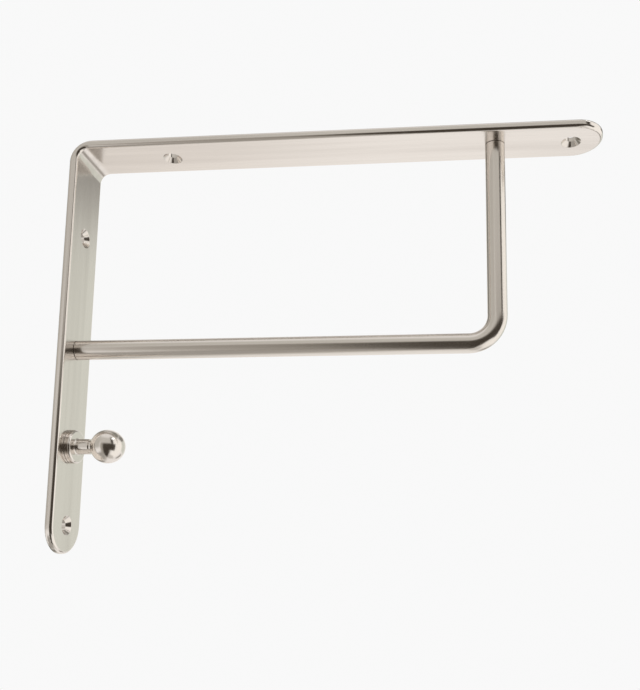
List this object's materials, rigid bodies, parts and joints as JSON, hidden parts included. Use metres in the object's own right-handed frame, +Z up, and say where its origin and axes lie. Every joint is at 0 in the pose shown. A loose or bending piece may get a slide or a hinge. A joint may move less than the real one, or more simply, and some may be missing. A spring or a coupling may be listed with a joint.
{
  "type": "shelf bracket",
  "caption": "L-shaped flat-strap shelf bracket with rounded ends, a bent round brace rod, a ball-ended hook peg and countersunk screw holes.",
  "frame": {"origin": "on the wall face at mid-width, midway between the two wall screws", "axes": "+X out from the wall along the shelf leg, +Y across the strap's width, +Z up"},
  "size_m": [0.1925, 0.02, 0.15],
  "materials": {
    "strap_metal": "steel with a warm satin nickel plate, brushed along each leg",
    "rod_metal": "round steel bar with a warm satin nickel plate, smoother than the strap",
    "peg_metal": "turned metal with a bright satin nickel plate, close to polished"
  },
  "bodies": {
    "root": {"strap": "strap_metal", "brace_rod": "rod_metal", "hook_peg": "peg_metal"}
  },
  "joints": []
}
